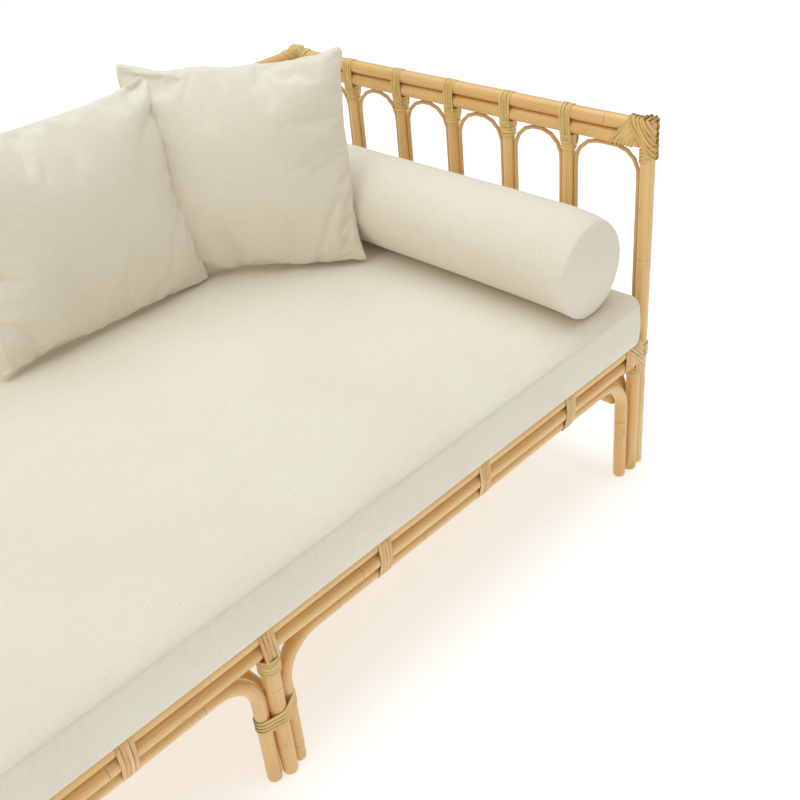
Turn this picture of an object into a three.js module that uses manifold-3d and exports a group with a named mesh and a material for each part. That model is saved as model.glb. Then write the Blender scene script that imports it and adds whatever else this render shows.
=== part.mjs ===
// Rattan-pole daybed: arms and back of double top rails, upright spindles and thin bent arches,
// a seat ring on bent leg arches, a seat board, a box mattress, two pillows and a bolster.
// Units are millimetres. +Z is up, +X runs along the length to the right arm and the front is -Y.
// The origin is on the floor, at the centre of the overall plan.
import * as THREE from 'three';
import { mergeVertices } from 'three/addons/utils/BufferGeometryUtils.js';
import Module from 'manifold-3d';

const wasm = await Module();
wasm.setup();

// ---- driving sizes ---------------------------------------------------------------------------
const GAP = 0.3; // hairline left between neighbouring pieces
const SIDES = 12; // facets round a pole

// plan lines of the frame
const FRONT_Y = -442.6; // axis of the front corner posts
const BACK_Y = 447.4; // axis of the back corner posts
const POST_X = 943.7; // axis of the short corner posts
const TALL_X = 970.4; // axis of the tall posts and of the arm panels
const TALL_INSET = 4; // tall posts sit this much nearer the middle than the corner posts
const BACK_PANEL_Y = BACK_Y - TALL_INSET;
const ARM_FRONT_Y = FRONT_Y + TALL_INSET;

// poles
const RAIL_R = 13.15;
const POST_R = 13;
const TALL_R = 13.3;
const CENTRE_POSTS = { // each is a little stouter at its head
  front: { y: FRONT_Y - 5, head: 14.8, foot: 12.6 },
  back: { y: BACK_Y, head: 12.8, foot: 11.2 },
};
const LEG_R = 12;
const SPINDLE_R = 12;
const THIN_R = 4;

// heights
const SEAT_RAIL_Z = 290.8; // upper seat rail axis
const LOWER_RAIL_Z = 264.2;
const LEG_RUN_Z = 238.8; // level run of the front and back leg arches
const END_RUN_Z = SEAT_RAIL_Z - 24.8; // just under the end seat rail
const STRETCHER_Z = 158;
const END_STRETCHER_Z = 145;
const ARM_TOP_Z = 705.9; // upper of the two top rails
const ARM_LOWER_Z = ARM_TOP_Z - 2 * RAIL_R - GAP;
const POST_TOP_Z = SEAT_RAIL_Z + RAIL_R;
const TALL_TOP_Z = ARM_TOP_Z + RAIL_R;

// leg arches
const LEG_X = 911; // outer leg of a long arch, beside the corner post
const CENTRE_LEG_X = 25.2; // inner leg of a long arch, beside the centre post
const LEG_BACKSET = 3; // the long arches sit a little behind the rails above them
const BEND_CORNER = 75;
const BEND_CENTRE = 70;
const END_ARCH_X = 950; // end arches stand in line with the corner posts
const END_LEG_INSET = 29; // and this far behind them
const BEND_END = 105;

// arms and back
const ARM_SPINDLES = 5;
const ARM_END_BAY = 165.8;
const BACK_SPINDLES = 12;
const BACK_END_BAY = 166;
const THIN_BEND = 48; // shoulder radius of a thin arch

// seat board
const BOARD_THICK = 12;
const DECK_HALF_X = 914;

// mattress
const MATTRESS = { halfX: 947, frontY: FRONT_Y - 20, backY: BACK_PANEL_Y - SPINDLE_R - 5 };
const MATTRESS_Z = POST_TOP_Z + GAP;
const MATTRESS_EDGE_Z = 388; // top seam
const MATTRESS_CROWN_Z = 406;
const MATTRESS_CORNER = 32;

// bolster and pillows
const BOLSTER = { x: 835, z: 494.6, r: 92, frontY: FRONT_Y + 5, backY: FRONT_Y + 850 };
const PILLOW_RIGHT = { w: 428, h: 412, thick: 140, at: [592.5, FRONT_Y + 658], turn: 132.5, lean: 8.5, z: 412 };
const PILLOW_LEFT = { w: 478, h: 408, thick: 140, at: [262, FRONT_Y + 693], turn: 180, lean: 16, z: 412 };
const PILLOW_BOW = 0.055; // the seams draw in between the ears

// ---- small helpers ---------------------------------------------------------------------------
const group = new THREE.Group();
group.name = 'rattan_daybed';

function paint(color, roughness) {
  return () => new THREE.MeshStandardMaterial({ color, roughness });
}
const poleSkin = paint(0xdcb47c, 0.5);
const thinSkin = paint(0xd6ab72, 0.5);
const boardSkin = paint(0xc9a877, 0.7);
const canvas = paint(0xe8e4d4, 0.95);

function add(name, geometry, skin) {
  const mesh = new THREE.Mesh(geometry, skin());
  mesh.name = name;
  group.add(mesh);
}

// straight pole from a to b, optionally tapered
function pole(a, b, r, rEnd = r, sides = SIDES) {
  const from = new THREE.Vector3(...a);
  const to = new THREE.Vector3(...b);
  const along = to.clone().sub(from);
  const geometry = new THREE.CylinderGeometry(rEnd, r, along.length(), sides);
  const turn = new THREE.Quaternion().setFromUnitVectors(
    new THREE.Vector3(0, 1, 0), along.clone().normalize());
  geometry.applyQuaternion(turn);
  const mid = from.add(to).multiplyScalar(0.5);
  return geometry.translate(mid.x, mid.y, mid.z);
}

// a bent pole follows its corner points, with short steps only where it bends
class BentLine extends THREE.Curve {
  constructor(points) {
    super();
    this.points = points;
  }

  getPoint(t, target = new THREE.Vector3()) {
    const last = this.points.length - 1;
    const s = THREE.MathUtils.clamp(t * last, 0, last);
    const i = Math.min(Math.floor(s), last - 1);
    return target.lerpVectors(this.points[i], this.points[i + 1], s - i);
  }

  getUtoTmapping(u) {
    return u;
  }
}

// inverted U in a vertical plane: two legs, two rounded shoulders and a level run.
// place(s, z) turns a distance along the plane and a height into a point.
function archPoints([s0, s1], [foot0, foot1], top, [bend0, bend1], steps, place) {
  const points = [place(s0, foot0)];
  for (let i = 0; i <= steps; i += 1) {
    const a = (Math.PI / 2) * (i / steps);
    points.push(place(s0 + bend0 * (1 - Math.cos(a)), top - bend0 * (1 - Math.sin(a))));
  }
  for (let i = 0; i <= steps; i += 1) {
    const a = (Math.PI / 2) * (i / steps);
    points.push(place(s1 - bend1 * (1 - Math.sin(a)), top - bend1 * (1 - Math.cos(a))));
  }
  points.push(place(s1, foot1));
  return points;
}

function bentPole(points, r, sides) {
  const round = new THREE.Shape();
  for (let i = 0; i <= sides; i += 1) {
    const a = (2 * Math.PI * i) / sides;
    if (i === 0) round.moveTo(r, 0);
    else round.lineTo(r * Math.cos(a), r * Math.sin(a));
  }
  return new THREE.ExtrudeGeometry(round, {
    steps: points.length - 1, extrudePath: new BentLine(points), bevelEnabled: false,
  });
}

function toSolid(geometry) {
  const bare = new THREE.BufferGeometry();
  bare.setAttribute('position', geometry.getAttribute('position').clone());
  if (geometry.index) bare.setIndex(geometry.index.clone());
  const welded = mergeVertices(bare, 1e-3);
  return new wasm.Manifold(new wasm.Mesh({
    numProp: 3,
    vertProperties: new Float32Array(welded.getAttribute('position').array),
    triVerts: new Uint32Array(welded.index.array),
  }));
}

function toGeometry(solid) {
  const mesh = solid.getMesh();
  const geometry = new THREE.BufferGeometry();
  geometry.setAttribute('position', new THREE.BufferAttribute(new Float32Array(mesh.vertProperties), 3));
  geometry.setIndex(new THREE.BufferAttribute(new Uint32Array(mesh.triVerts), 1));
  return geometry;
}

function joined(geometries) {
  let solid = toSolid(geometries[0]);
  for (const next of geometries.slice(1)) solid = solid.add(toSolid(next));
  return toGeometry(solid);
}

function board(x0, x1, y0, y1, z0, z1) {
  const geometry = new THREE.BoxGeometry(x1 - x0, y1 - y0, z1 - z0);
  return geometry.translate((x0 + x1) / 2, (y0 + y1) / 2, (z0 + z1) / 2);
}

// closed skin made of rings of equal length, capped by its first and last points
function ringSkin(rings, firstPoint, lastPoint) {
  const n = rings[0].length;
  const points = [firstPoint, ...rings.flat(), lastPoint];
  const faces = [];
  const at = (ring, i) => 1 + ring * n + (i % n);
  for (let i = 0; i < n; i += 1) {
    faces.push(0, at(0, i + 1), at(0, i));
    faces.push(points.length - 1, at(rings.length - 1, i), at(rings.length - 1, i + 1));
    for (let k = 0; k < rings.length - 1; k += 1) {
      faces.push(at(k, i), at(k, i + 1), at(k + 1, i + 1));
      faces.push(at(k, i), at(k + 1, i + 1), at(k + 1, i));
    }
  }
  const geometry = new THREE.BufferGeometry();
  geometry.setAttribute('position', new THREE.Float32BufferAttribute(points.flat(), 3));
  geometry.setIndex(faces);
  return geometry;
}

// ---- seat frame ------------------------------------------------------------------------------
const SIDE_LINES = [['front', FRONT_Y, 1], ['back', BACK_Y, -1]]; // 1: inwards is +Y
const END_LINES = [['left', -1], ['right', 1]];

const RAIL_END = POST_X - POST_R - GAP;
const longRail = (y, z) => pole([-RAIL_END, y, z], [RAIL_END, y, z], RAIL_R);
add('front_seat_rail_upper', longRail(FRONT_Y, SEAT_RAIL_Z), poleSkin); // the back one carries the back panel

for (const [side, y, inward] of SIDE_LINES) {
  add(`${side}_seat_rail_lower`, longRail(y - 2 * inward, LOWER_RAIL_Z), poleSkin);
  const postTop = LOWER_RAIL_Z - RAIL_R - 2;
  const centre = CENTRE_POSTS[side];
  add(`${side}_centre_post`, pole([0, centre.y, 0], [0, centre.y, postTop], centre.foot, centre.head), poleSkin);
  for (const [hand, sx] of END_LINES) {
    add(`${side}_${hand}_corner_post`, pole([sx * POST_X, y, 0], [sx * POST_X, y, POST_TOP_Z], POST_R), poleSkin);
    const tallY = y + inward * TALL_INSET;
    add(`${side}_${hand}_tall_post`, pole([sx * TALL_X, tallY, 0], [sx * TALL_X, tallY, TALL_TOP_Z], TALL_R), poleSkin);
    const legLine = (s, z) => new THREE.Vector3(sx * s, y + inward * LEG_BACKSET, z);
    const line = archPoints([CENTRE_LEG_X, LEG_X], [0, 0], LEG_RUN_Z, [BEND_CENTRE, BEND_CORNER], 5, legLine);
    add(`${side}_${hand}_leg_arch`, bentPole(line, LEG_R, SIDES), poleSkin);
  }
}

const END_LEGS = [FRONT_Y + END_LEG_INSET, BACK_Y - END_LEG_INSET];
for (const [hand, sx] of END_LINES) {
  const railX = sx * POST_X;
  const reach = POST_R + GAP;
  add(`${hand}_end_seat_rail`,
    pole([railX, FRONT_Y + reach, SEAT_RAIL_Z], [railX, BACK_Y - reach, SEAT_RAIL_Z], RAIL_R), poleSkin);
  const x = sx * END_ARCH_X;
  const endLine = (s, z) => new THREE.Vector3(x, s, z);
  const line = archPoints(END_LEGS, [0, 0], END_RUN_Z, [BEND_END, BEND_END], 5, endLine);
  add(`${hand}_end_leg_arch`, bentPole(line, LEG_R, SIDES), poleSkin);
  const tip = LEG_R + 1.5;
  add(`${hand}_end_stretcher`,
    pole([x, END_LEGS[0] + tip, END_STRETCHER_Z], [x, END_LEGS[1] - tip, END_STRETCHER_Z], LEG_R), poleSkin);
}
const { front, back } = CENTRE_POSTS;
add('centre_stretcher',
  pole([0, front.y + front.head, STRETCHER_Z], [0, back.y - back.head, STRETCHER_Z], LEG_R), poleSkin);

// ---- arms and back ---------------------------------------------------------------------------
// place(s, z) gives a point of the panel; s runs from s0 to s1 between the tall post axes.
// The bottom rail runs from -baseEnd to baseEnd of its own middle.
function panel(prefix, [s0, s1], baseEnd, count, endBay, place) {
  const inset = TALL_R + GAP;
  const mid = (s0 + s1) / 2;
  const span = (a, b, z) => pole(place(a, z).toArray(), place(b, z).toArray(), RAIL_R);
  const rail = (z) => span(s0 + inset, s1 - inset, z);
  add(`${prefix}_top_rail_upper`, rail(ARM_TOP_Z), poleSkin);
  add(`${prefix}_top_rail_lower`, rail(ARM_LOWER_Z), poleSkin);

  const spindles = [];
  const pitch = (s1 - s0 - 2 * endBay) / (count - 1);
  for (let i = 0; i < count; i += 1) spindles.push(s0 + endBay + i * pitch);
  const low = SEAT_RAIL_Z + RAIL_R + GAP;
  const high = ARM_LOWER_Z - RAIL_R - GAP;
  spindles.forEach((s, i) => add(`${prefix}_spindle_${i + 1}`,
    pole(place(s, low).toArray(), place(s, high).toArray(), SPINDLE_R), poleSkin));

  // one thin arch per bay, all standing on the bottom rail
  const clear = THIN_R + GAP;
  const edges = [s0 + TALL_R, ...spindles.flatMap((s) => [s - SPINDLE_R, s + SPINDLE_R]), s1 - TALL_R];
  const pieces = [span(mid - baseEnd, mid + baseEnd, SEAT_RAIL_Z)];
  for (let i = 0; i < edges.length; i += 2) {
    const legs = [edges[i] + clear, edges[i + 1] - clear];
    // a leg past the end of the rail stands on the corner post
    const feet = legs.map((s) => (Math.abs(s - mid) < baseEnd ? SEAT_RAIL_Z : POST_TOP_Z + GAP));
    const line = archPoints(legs, feet, high - THIN_R, [THIN_BEND, THIN_BEND], 4, place);
    pieces.push(bentPole(line, THIN_R, 6));
  }
  add(`${prefix}_bottom_rail_and_thin_arches`, joined(pieces), thinSkin);
}

for (const [hand, sx] of END_LINES) {
  const armEnd = (BACK_PANEL_Y - ARM_FRONT_Y) / 2 - TALL_R - GAP;
  panel(`${hand}_arm`, [ARM_FRONT_Y, BACK_PANEL_Y], armEnd, ARM_SPINDLES, ARM_END_BAY,
    (s, z) => new THREE.Vector3(sx * TALL_X, s, z));
}
panel('back', [-TALL_X, TALL_X], RAIL_END, BACK_SPINDLES, BACK_END_BAY,
  (s, z) => new THREE.Vector3(s, BACK_PANEL_Y, z));

// ---- seat board -------------------------------------------------------------------------------
const boardTop = POST_TOP_Z - GAP;
add('seat_board', board(-DECK_HALF_X, DECK_HALF_X, FRONT_Y + RAIL_R + GAP, BACK_PANEL_Y - RAIL_R - GAP,
  boardTop - BOARD_THICK, boardTop), boardSkin);

// ---- mattress --------------------------------------------------------------------------------
// one ring of the mattress, drawn in from its plan outline
function mattressRing(inset, z) {
  const r = Math.max(MATTRESS_CORNER - inset * 0.35, 6);
  const x = MATTRESS.halfX - inset;
  const y0 = MATTRESS.frontY + inset;
  const y1 = MATTRESS.backY - inset;
  const corners = [[x, y0, -90], [x, y1, 0], [-x, y1, 90], [-x, y0, 180]];
  const ring = [];
  for (const [cx, cy, start] of corners) {
    for (let i = 0; i <= 4; i += 1) {
      const a = THREE.MathUtils.degToRad(start + (90 * i) / 4);
      const mx = cx - Math.sign(cx) * r;
      const my = cy === y0 ? cy + r : cy - r;
      ring.push([mx + r * Math.cos(a), my + r * Math.sin(a), z]);
    }
  }
  return ring;
}

function mattress() {
  const midY = (MATTRESS.frontY + MATTRESS.backY) / 2;
  const crown = MATTRESS_CROWN_Z - MATTRESS_EDGE_Z;
  const rings = [mattressRing(5, MATTRESS_Z), mattressRing(1.2, MATTRESS_Z + 4),
    mattressRing(0, MATTRESS_Z + 42), mattressRing(1.2, MATTRESS_EDGE_Z - 3),
    mattressRing(5, MATTRESS_EDGE_Z + 2)];
  for (const [inset, share] of [[18, 0.3], [45, 0.52], [100, 0.75], [200, 0.93]]) {
    rings.push(mattressRing(inset, MATTRESS_EDGE_Z + crown * share));
  }
  return ringSkin(rings, [0, midY, MATTRESS_Z], [0, midY, MATTRESS_CROWN_Z]);
}
add('mattress', mattress(), canvas);

// ---- bolster and pillows ---------------------------------------------------------------------
function bolster() {
  const { r, frontY, backY } = BOLSTER;
  const span = backY - frontY;
  const profile = [[0, 0], [r * 0.55, 1.5], [r * 0.9, 7], [r * 0.985, 14], [r, 40]];
  const points = profile.map(([rr, s]) => new THREE.Vector2(rr, s));
  profile.slice().reverse().forEach(([rr, s]) => points.push(new THREE.Vector2(rr, span - s)));
  const geometry = new THREE.LatheGeometry(points, 28);
  return geometry.translate(BOLSTER.x, frontY, BOLSTER.z);
}
add('bolster', bolster(), canvas);

// knife-edge pillow lying in its own XZ plane, bottom seam on z = 0
function pillow({ w, h, thick, at, turn, lean, z }) {
  const n = 12;
  const spot = (i) => Math.sin((Math.PI / 2) * ((2 * i) / n - 1));
  const points = [];
  const faces = [];
  const lookup = new Map();
  const index = (i, j, side) => {
    const rim = i === 0 || j === 0 || i === n || j === n;
    const key = rim ? `${i},${j}` : `${i},${j},${side}`;
    if (!lookup.has(key)) {
      const u = spot(i);
      const v = spot(j);
      const fill = Math.pow((1 - u * u) * (1 - v * v), 0.72);
      const x = (w / 2) * u * (1 - PILLOW_BOW * (1 - v * v));
      const up = (h / 2) * (1 + v * (1 - PILLOW_BOW * 0.4 * (1 - u * u)));
      lookup.set(key, points.length);
      points.push([x, rim ? 0 : side * (thick / 2) * fill, up]);
    }
    return lookup.get(key);
  };
  for (const side of [-1, 1]) {
    for (let i = 0; i < n; i += 1) {
      for (let j = 0; j < n; j += 1) {
        const [a, b, c, d] = [index(i, j, side), index(i + 1, j, side),
          index(i + 1, j + 1, side), index(i, j + 1, side)];
        if (side < 0) faces.push(a, b, c, a, c, d);
        else faces.push(a, c, b, a, d, c);
      }
    }
  }
  const geometry = new THREE.BufferGeometry();
  geometry.setAttribute('position', new THREE.Float32BufferAttribute(points.flat(), 3));
  geometry.setIndex(faces);
  geometry.rotateX(-THREE.MathUtils.degToRad(lean));
  geometry.rotateZ(THREE.MathUtils.degToRad(turn - 180));
  return geometry.translate(at[0], at[1], z);
}
add('right_pillow', pillow(PILLOW_RIGHT), canvas);
add('left_pillow', pillow(PILLOW_LEFT), canvas);

export default group;
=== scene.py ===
"""Looks of the rattan daybed: detailed poles, bindings, seat board, mattress, pillows and bolster."""
import math
import random

import bmesh
import bpy
import numpy as np
from mathutils import Matrix, Vector, noise


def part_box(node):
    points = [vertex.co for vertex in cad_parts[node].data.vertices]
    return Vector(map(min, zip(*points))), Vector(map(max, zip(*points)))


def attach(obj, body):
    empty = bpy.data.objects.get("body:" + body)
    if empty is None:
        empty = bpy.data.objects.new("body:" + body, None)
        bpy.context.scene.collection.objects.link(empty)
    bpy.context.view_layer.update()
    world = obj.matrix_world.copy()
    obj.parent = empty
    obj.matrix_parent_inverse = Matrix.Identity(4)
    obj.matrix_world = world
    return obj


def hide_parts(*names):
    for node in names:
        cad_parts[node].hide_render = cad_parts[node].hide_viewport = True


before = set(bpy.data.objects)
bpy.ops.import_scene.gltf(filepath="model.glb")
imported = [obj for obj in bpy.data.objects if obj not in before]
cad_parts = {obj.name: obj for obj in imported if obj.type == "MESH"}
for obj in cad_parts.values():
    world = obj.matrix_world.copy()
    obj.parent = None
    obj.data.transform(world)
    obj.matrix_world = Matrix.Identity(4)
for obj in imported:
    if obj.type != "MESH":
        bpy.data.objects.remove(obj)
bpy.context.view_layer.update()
NODES = list(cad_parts)

# ---------------- small helpers


def arr(v):
    return np.array(tuple(v), dtype=float)


def unit(v):
    return v / np.linalg.norm(v)


def node_box(name):
    lo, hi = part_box(name)
    return arr(lo), arr(hi)


def new_object(name, verts, faces, material, attributes=(), smooth=True):
    mesh = bpy.data.meshes.new(name)
    mesh.from_pydata([tuple(v) for v in verts], [], [tuple(f) for f in faces])
    for key, kind, values in attributes:
        layer = mesh.attributes.new(key, kind, "POINT")
        field = "vector" if kind == "FLOAT_VECTOR" else "value"
        layer.data.foreach_set(field, np.asarray(values, dtype=np.float32).ravel())
    mesh.materials.append(material)
    if smooth:
        mesh.polygons.foreach_set("use_smooth", [True] * len(mesh.polygons))
    mesh.update()
    obj = bpy.data.objects.new(name, mesh)
    bpy.context.collection.objects.link(obj)
    return obj


# ---------------- node material kit


class Shader:
    """A short way to write node trees: every call returns an output socket."""

    def __init__(self, name):
        self.material = bpy.data.materials.new(name)
        self.material.use_nodes = True
        self.tree = self.material.node_tree
        self.tree.nodes.clear()
        self.out = self.tree.nodes.new("ShaderNodeOutputMaterial")
        self.bsdf = self.tree.nodes.new("ShaderNodeBsdfPrincipled")
        self.tree.links.new(self.bsdf.outputs[0], self.out.inputs[0])

    def _node(self, kind, inputs, **settings):
        node = self.tree.nodes.new(kind)
        for key, value in settings.items():
            setattr(node, key, value)
        for key, value in inputs.items():
            self.feed(node.inputs[key], value)
        return node

    def feed(self, socket, value):
        if isinstance(value, bpy.types.NodeSocket):
            self.tree.links.new(value, socket)
        elif isinstance(value, (tuple, list)) and socket.type == "RGBA" and len(value) == 3:
            socket.default_value = (*value, 1.0)
        else:
            socket.default_value = value

    def attribute(self, name, vector=False):
        node = self._node("ShaderNodeAttribute", {}, attribute_name=name)
        return node.outputs["Vector" if vector else "Fac"]

    def object_coords(self):
        return self._node("ShaderNodeTexCoord", {}).outputs["Object"]

    def scaled(self, vector, scale):
        return self._node("ShaderNodeMapping", {"Vector": vector, "Scale": scale}).outputs[0]

    def noise(self, vector, scale=1.0, detail=3.0, roughness=0.55):
        return self._node("ShaderNodeTexNoise",
                          {"Vector": vector, "Scale": scale, "Detail": detail, "Roughness": roughness}).outputs[0]

    def voronoi(self, vector, scale):
        return self._node("ShaderNodeTexVoronoi", {"Vector": vector, "Scale": scale}).outputs["Distance"]

    def math(self, operation, a, b=0.0):
        return self._node("ShaderNodeMath", {0: a, 1: b}, operation=operation).outputs[0]

    def ramp(self, value, low, high, to_low=0.0, to_high=1.0, smooth=True):
        node = self._node("ShaderNodeMapRange",
                          {"Value": value, "From Min": low, "From Max": high, "To Min": to_low, "To Max": to_high},
                          clamp=True, interpolation_type="SMOOTHSTEP" if smooth else "LINEAR")
        return node.outputs[0]

    def mix(self, factor, a, b):
        node = self.tree.nodes.new("ShaderNodeMix")
        node.data_type = "RGBA"
        self.feed(node.inputs["Factor"], factor)
        colours = [s for s in node.inputs if s.type == "RGBA"]
        self.feed(colours[0], a)
        self.feed(colours[1], b)
        return [s for s in node.outputs if s.type == "RGBA"][0]

    def split(self, vector):
        return self._node("ShaderNodeSeparateXYZ", {"Vector": vector}).outputs

    def bump(self, height, strength, distance):
        inputs = {"Height": height, "Strength": strength, "Distance": distance}
        return self._node("ShaderNodeBump", inputs).outputs[0]

    def set(self, **values):
        for key, value in values.items():
            self.feed(self.bsdf.inputs[key.replace("_", " ")], value)


def srgb(r, g, b):
    """Linear colour of an 8-bit sRGB one."""
    def line(c):
        c /= 255
        return c / 12.92 if c <= 0.04045 else ((c + 0.055) / 1.055) ** 2.4
    return (line(r), line(g), line(b))


# ---------------- materials


PORE, SPOT, RING_DARK, RING_PALE = srgb(128, 88, 44), srgb(150, 128, 86), srgb(120, 80, 42), srgb(228, 204, 156)
SPLIT_DARK = srgb(132, 98, 48)
SLUB_DARK, THREAD_PALE, SEED = srgb(208, 196, 168), srgb(247, 243, 232), srgb(140, 116, 78)
WEAVE_PITCH = 0.0017
PLY = 0.0024


def rattan_material(name, light, warm, shade, streak=1.0):
    """Peeled, lacquered rattan: long fibres, soft patches, dark growth rings and small pores."""
    s = Shader(name)
    place = s.attribute("pole", vector=True)
    ring = s.attribute("ring")
    tint = s.attribute("tint")
    patches = s.noise(s.scaled(place, (9, 9, 7)), detail=2.0)
    fibres = s.noise(s.scaled(place, (620, 620, 9)), detail=4.0, roughness=0.6)
    bands = s.noise(s.scaled(place, (170, 170, 3)), detail=3.0)
    pores = s.noise(s.scaled(place, (900, 900, 110)), detail=2.0)
    colour = s.mix(s.ramp(patches, 0.35, 0.68), light, warm)
    colour = s.mix(s.ramp(tint, 0.0, 1.0, 0.0, 0.75, smooth=False), colour, warm)
    colour = s.mix(s.math("MULTIPLY", s.ramp(bands, 0.42, 0.75), 0.30 * streak), colour, shade)
    colour = s.mix(s.math("MULTIPLY", s.ramp(fibres, 0.5, 0.82), 0.34 * streak), colour, shade)
    colour = s.mix(s.math("MULTIPLY", s.ramp(pores, 0.66, 0.78), 0.4), colour, PORE)
    spots = s.noise(s.scaled(place, (38, 38, 24)), detail=1.0)
    colour = s.mix(s.math("MULTIPLY", s.ramp(spots, 0.70, 0.80), 0.35), colour, SPOT)
    dirt = s.noise(s.scaled(place, (300, 300, 120)), detail=2.0)
    near = s.ramp(s.math("ADD", ring, s.math("MULTIPLY", dirt, 0.0014)), 0.0007, 0.0021, 1.0, 0.0)
    broken = s.ramp(s.noise(s.scaled(place, (90, 90, 30))), 0.38, 0.62, 0.10, 0.65)
    colour = s.mix(s.math("MULTIPLY", near, broken), colour, RING_DARK)
    pale = s.math("MULTIPLY", s.ramp(ring, 0.0015, 0.003), s.ramp(ring, 0.004, 0.010, 0.14, 0.0))
    colour = s.mix(pale, colour, RING_PALE)
    height = s.math("ADD", s.math("MULTIPLY", fibres, 0.35), s.math("MULTIPLY", near, -1.0))
    s.set(Base_Color=colour, Roughness=s.ramp(fibres, 0.3, 0.8, 0.30, 0.46),
          Normal=s.bump(height, 0.3, 0.0005), Coat_Weight=0.45, Coat_Roughness=0.18, Specular_IOR_Level=0.45)
    return s.material


def strand_material(name, light, warm, odd, shade):
    """Split cane strands: yellower than the poles, with long splits and a dry, uneven face."""
    s = Shader(name)
    place = s.attribute("pole", vector=True)
    tint = s.attribute("tint")
    split = s.noise(s.scaled(place, (1100, 1100, 16)), detail=3.0, roughness=0.65)
    patch = s.noise(s.scaled(place, (40, 40, 22)), detail=2.0)
    colour = s.mix(s.ramp(tint, 0.05, 0.6, smooth=False), light, warm)
    colour = s.mix(s.ramp(tint, 0.72, 0.9, smooth=False), colour, odd)
    colour = s.mix(s.ramp(patch, 0.4, 0.75, 0.0, 0.55), colour, shade)
    colour = s.mix(s.ramp(split, 0.52, 0.78, 0.0, 0.6), colour, SPLIT_DARK)
    s.set(Base_Color=colour, Roughness=s.ramp(split, 0.3, 0.8, 0.42, 0.66),
          Normal=s.bump(split, 0.5, 0.0008), Coat_Weight=0.3, Coat_Roughness=0.28)
    return s.material


def canvas_material(name, base, low):
    """Undyed cotton canvas: plain weave along the cloth's own threads, slubs, seed flecks and a soft sheen."""
    s = Shader(name)
    threads = s.attribute("cloth", vector=True)
    place = s.object_coords()
    x, y, _ = s.split(threads)
    turn = 2 * math.pi / WEAVE_PITCH
    warp = s.math("SINE", s.math("MULTIPLY", x, turn))
    weft = s.math("SINE", s.math("MULTIPLY", y, turn))
    weave = s.math("MAXIMUM", warp, weft)
    slub_x = s.noise(s.scaled(threads, (28, 620, 1)), detail=3.0, roughness=0.6)
    slub_y = s.noise(s.scaled(threads, (620, 28, 1)), detail=3.0, roughness=0.6)
    slub = s.math("ADD", slub_x, slub_y)
    cloud = s.noise(s.scaled(place, (4.5, 4.5, 4.5)), detail=3.0)
    fine = s.noise(s.scaled(place, (300, 300, 300)), detail=2.0)
    colour = s.mix(s.ramp(cloud, 0.35, 0.7), base, low)
    colour = s.mix(s.ramp(slub, 0.95, 1.35, 0.0, 0.30), colour, SLUB_DARK)
    colour = s.mix(s.ramp(slub, 0.60, 0.90, 0.22, 0.0), colour, THREAD_PALE)
    colour = s.mix(s.ramp(fine, 0.55, 0.8, 0.0, 0.12), colour, THREAD_PALE)
    seeds = s.voronoi(place, 62)
    rare = s.ramp(s.noise(s.scaled(place, (31, 31, 31)), detail=0.0), 0.60, 0.66)
    fleck = s.math("MULTIPLY", s.ramp(seeds, 0.03, 0.075, 1.0, 0.0), rare)
    colour = s.mix(s.math("MULTIPLY", fleck, 0.6), colour, SEED)
    height = s.math("ADD", s.math("MULTIPLY", weave, 0.20), s.math("MULTIPLY", slub, 0.7))
    s.set(Base_Color=colour, Roughness=0.92, Normal=s.bump(height, 0.35, 0.0004),
          Sheen_Weight=0.2, Sheen_Roughness=0.5, Specular_IOR_Level=0.15)
    return s.material


def board_material():
    """Birch plywood: long face grain and thin glue lines round the edge."""
    s = Shader("board_wood")
    place = s.object_coords()
    _, _, height = s.split(place)
    grain = s.noise(s.scaled(place, (5, 160, 160)), detail=4.0, roughness=0.6)
    bands = s.noise(s.scaled(place, (1.2, 14, 14)), detail=2.0)
    colour = s.mix(s.ramp(grain, 0.35, 0.75), srgb(214, 186, 140), srgb(180, 146, 98))
    colour = s.mix(s.ramp(bands, 0.4, 0.7, 0.0, 0.5), colour, srgb(198, 166, 118))
    plies = s.math("SINE", s.math("MULTIPLY", height, 2 * math.pi / PLY))
    facing = s.math("ABSOLUTE", s.split(s._node("ShaderNodeNewGeometry", {}).outputs["Normal"])[2])
    edge = s.math("MULTIPLY", s.ramp(plies, 0.2, 0.9), s.ramp(facing, 0.4, 0.6, 0.6, 0.0))
    colour = s.mix(edge, colour, srgb(134, 96, 56))
    s.set(Base_Color=colour, Roughness=0.6, Normal=s.bump(grain, 0.3, 0.0006))
    return s.material


RATTAN = rattan_material("rattan_pole", srgb(240, 206, 139), srgb(232, 184, 117), srgb(196, 153, 89))
RATTAN_THIN = rattan_material("rattan_thin", srgb(230, 192, 126), srgb(218, 172, 105), srgb(180, 136, 78), 1.2)
STRAND_YELLOW = strand_material("cane_yellow", srgb(236, 206, 134), srgb(228, 188, 112), srgb(214, 190, 126),
                                srgb(198, 160, 94))
STRAND_PEACH = strand_material("cane_peach", srgb(238, 202, 144), srgb(230, 178, 112), srgb(218, 194, 138),
                               srgb(202, 160, 100))
CANVAS = canvas_material("canvas", srgb(237, 232, 218), srgb(234, 228, 213))
BOARD = board_material()

# ---------------- poles

POLE_SIDES = 20
BEVEL, RING_SWELL, RING_GROOVE = 0.005, 0.00035, 0.0004
UNEVEN = 0.012
RING_STEPS = (-0.006, -0.003, -0.0015, -0.0007, 0.0, 0.0007, 0.0015, 0.003, 0.006)


def arc_lengths(points):
    return np.concatenate([[0.0], np.cumsum(np.linalg.norm(np.diff(points, axis=0), axis=1))])


def sample_line(points, stations):
    s = arc_lengths(points)
    return np.column_stack([np.interp(stations, s, points[:, k]) for k in range(3)])


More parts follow.
